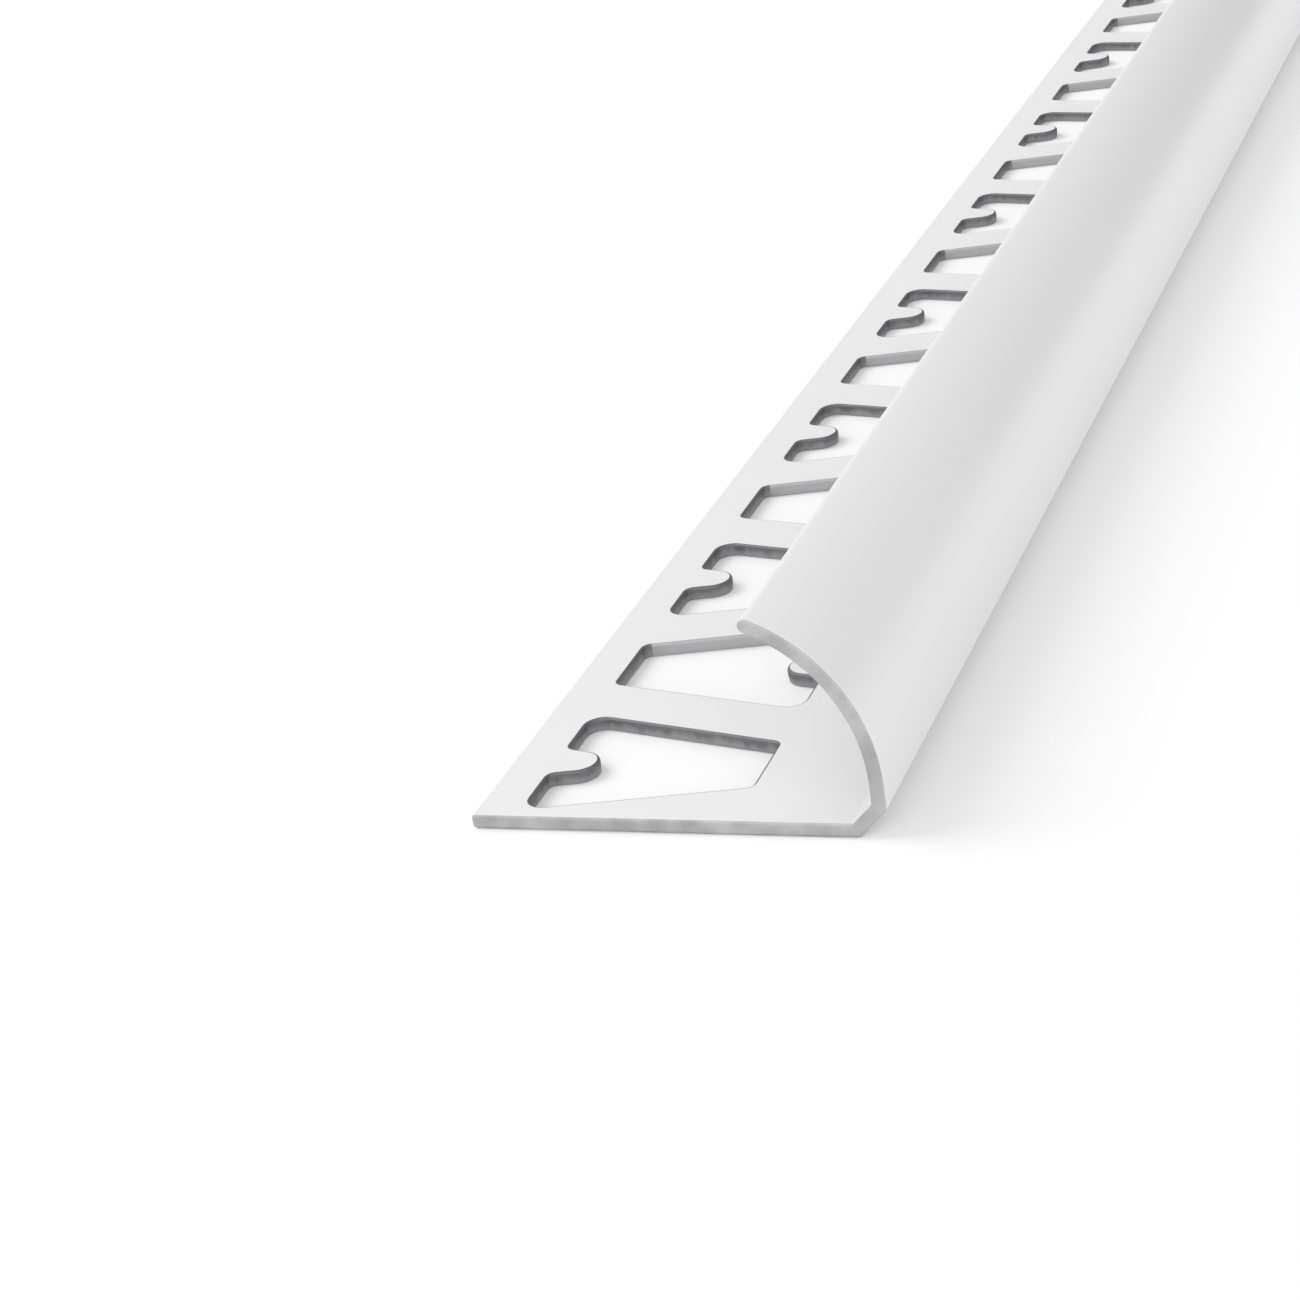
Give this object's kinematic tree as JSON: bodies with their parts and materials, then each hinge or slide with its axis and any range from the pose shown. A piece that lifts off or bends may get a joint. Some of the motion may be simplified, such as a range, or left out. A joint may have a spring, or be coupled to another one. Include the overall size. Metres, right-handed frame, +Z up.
{
  "type": "rounded tile edge trim",
  "caption": "Rounded tile edge trim: a white coated strip with a quarter-round edge and lip on a flat flange punched with tongued anchoring holes.",
  "frame": {"origin": "middle of the bedding face under the flange, on the floor", "axes": "+X across, from the flange's free edge to the round; +Y along the length; +Z up"},
  "size_m": [0.0236, 1, 0.0125],
  "materials": {
    "coated_aluminium": "satin"
  },
  "bodies": {
    "root": {"tile_trim": "coated_aluminium"}
  },
  "joints": []
}
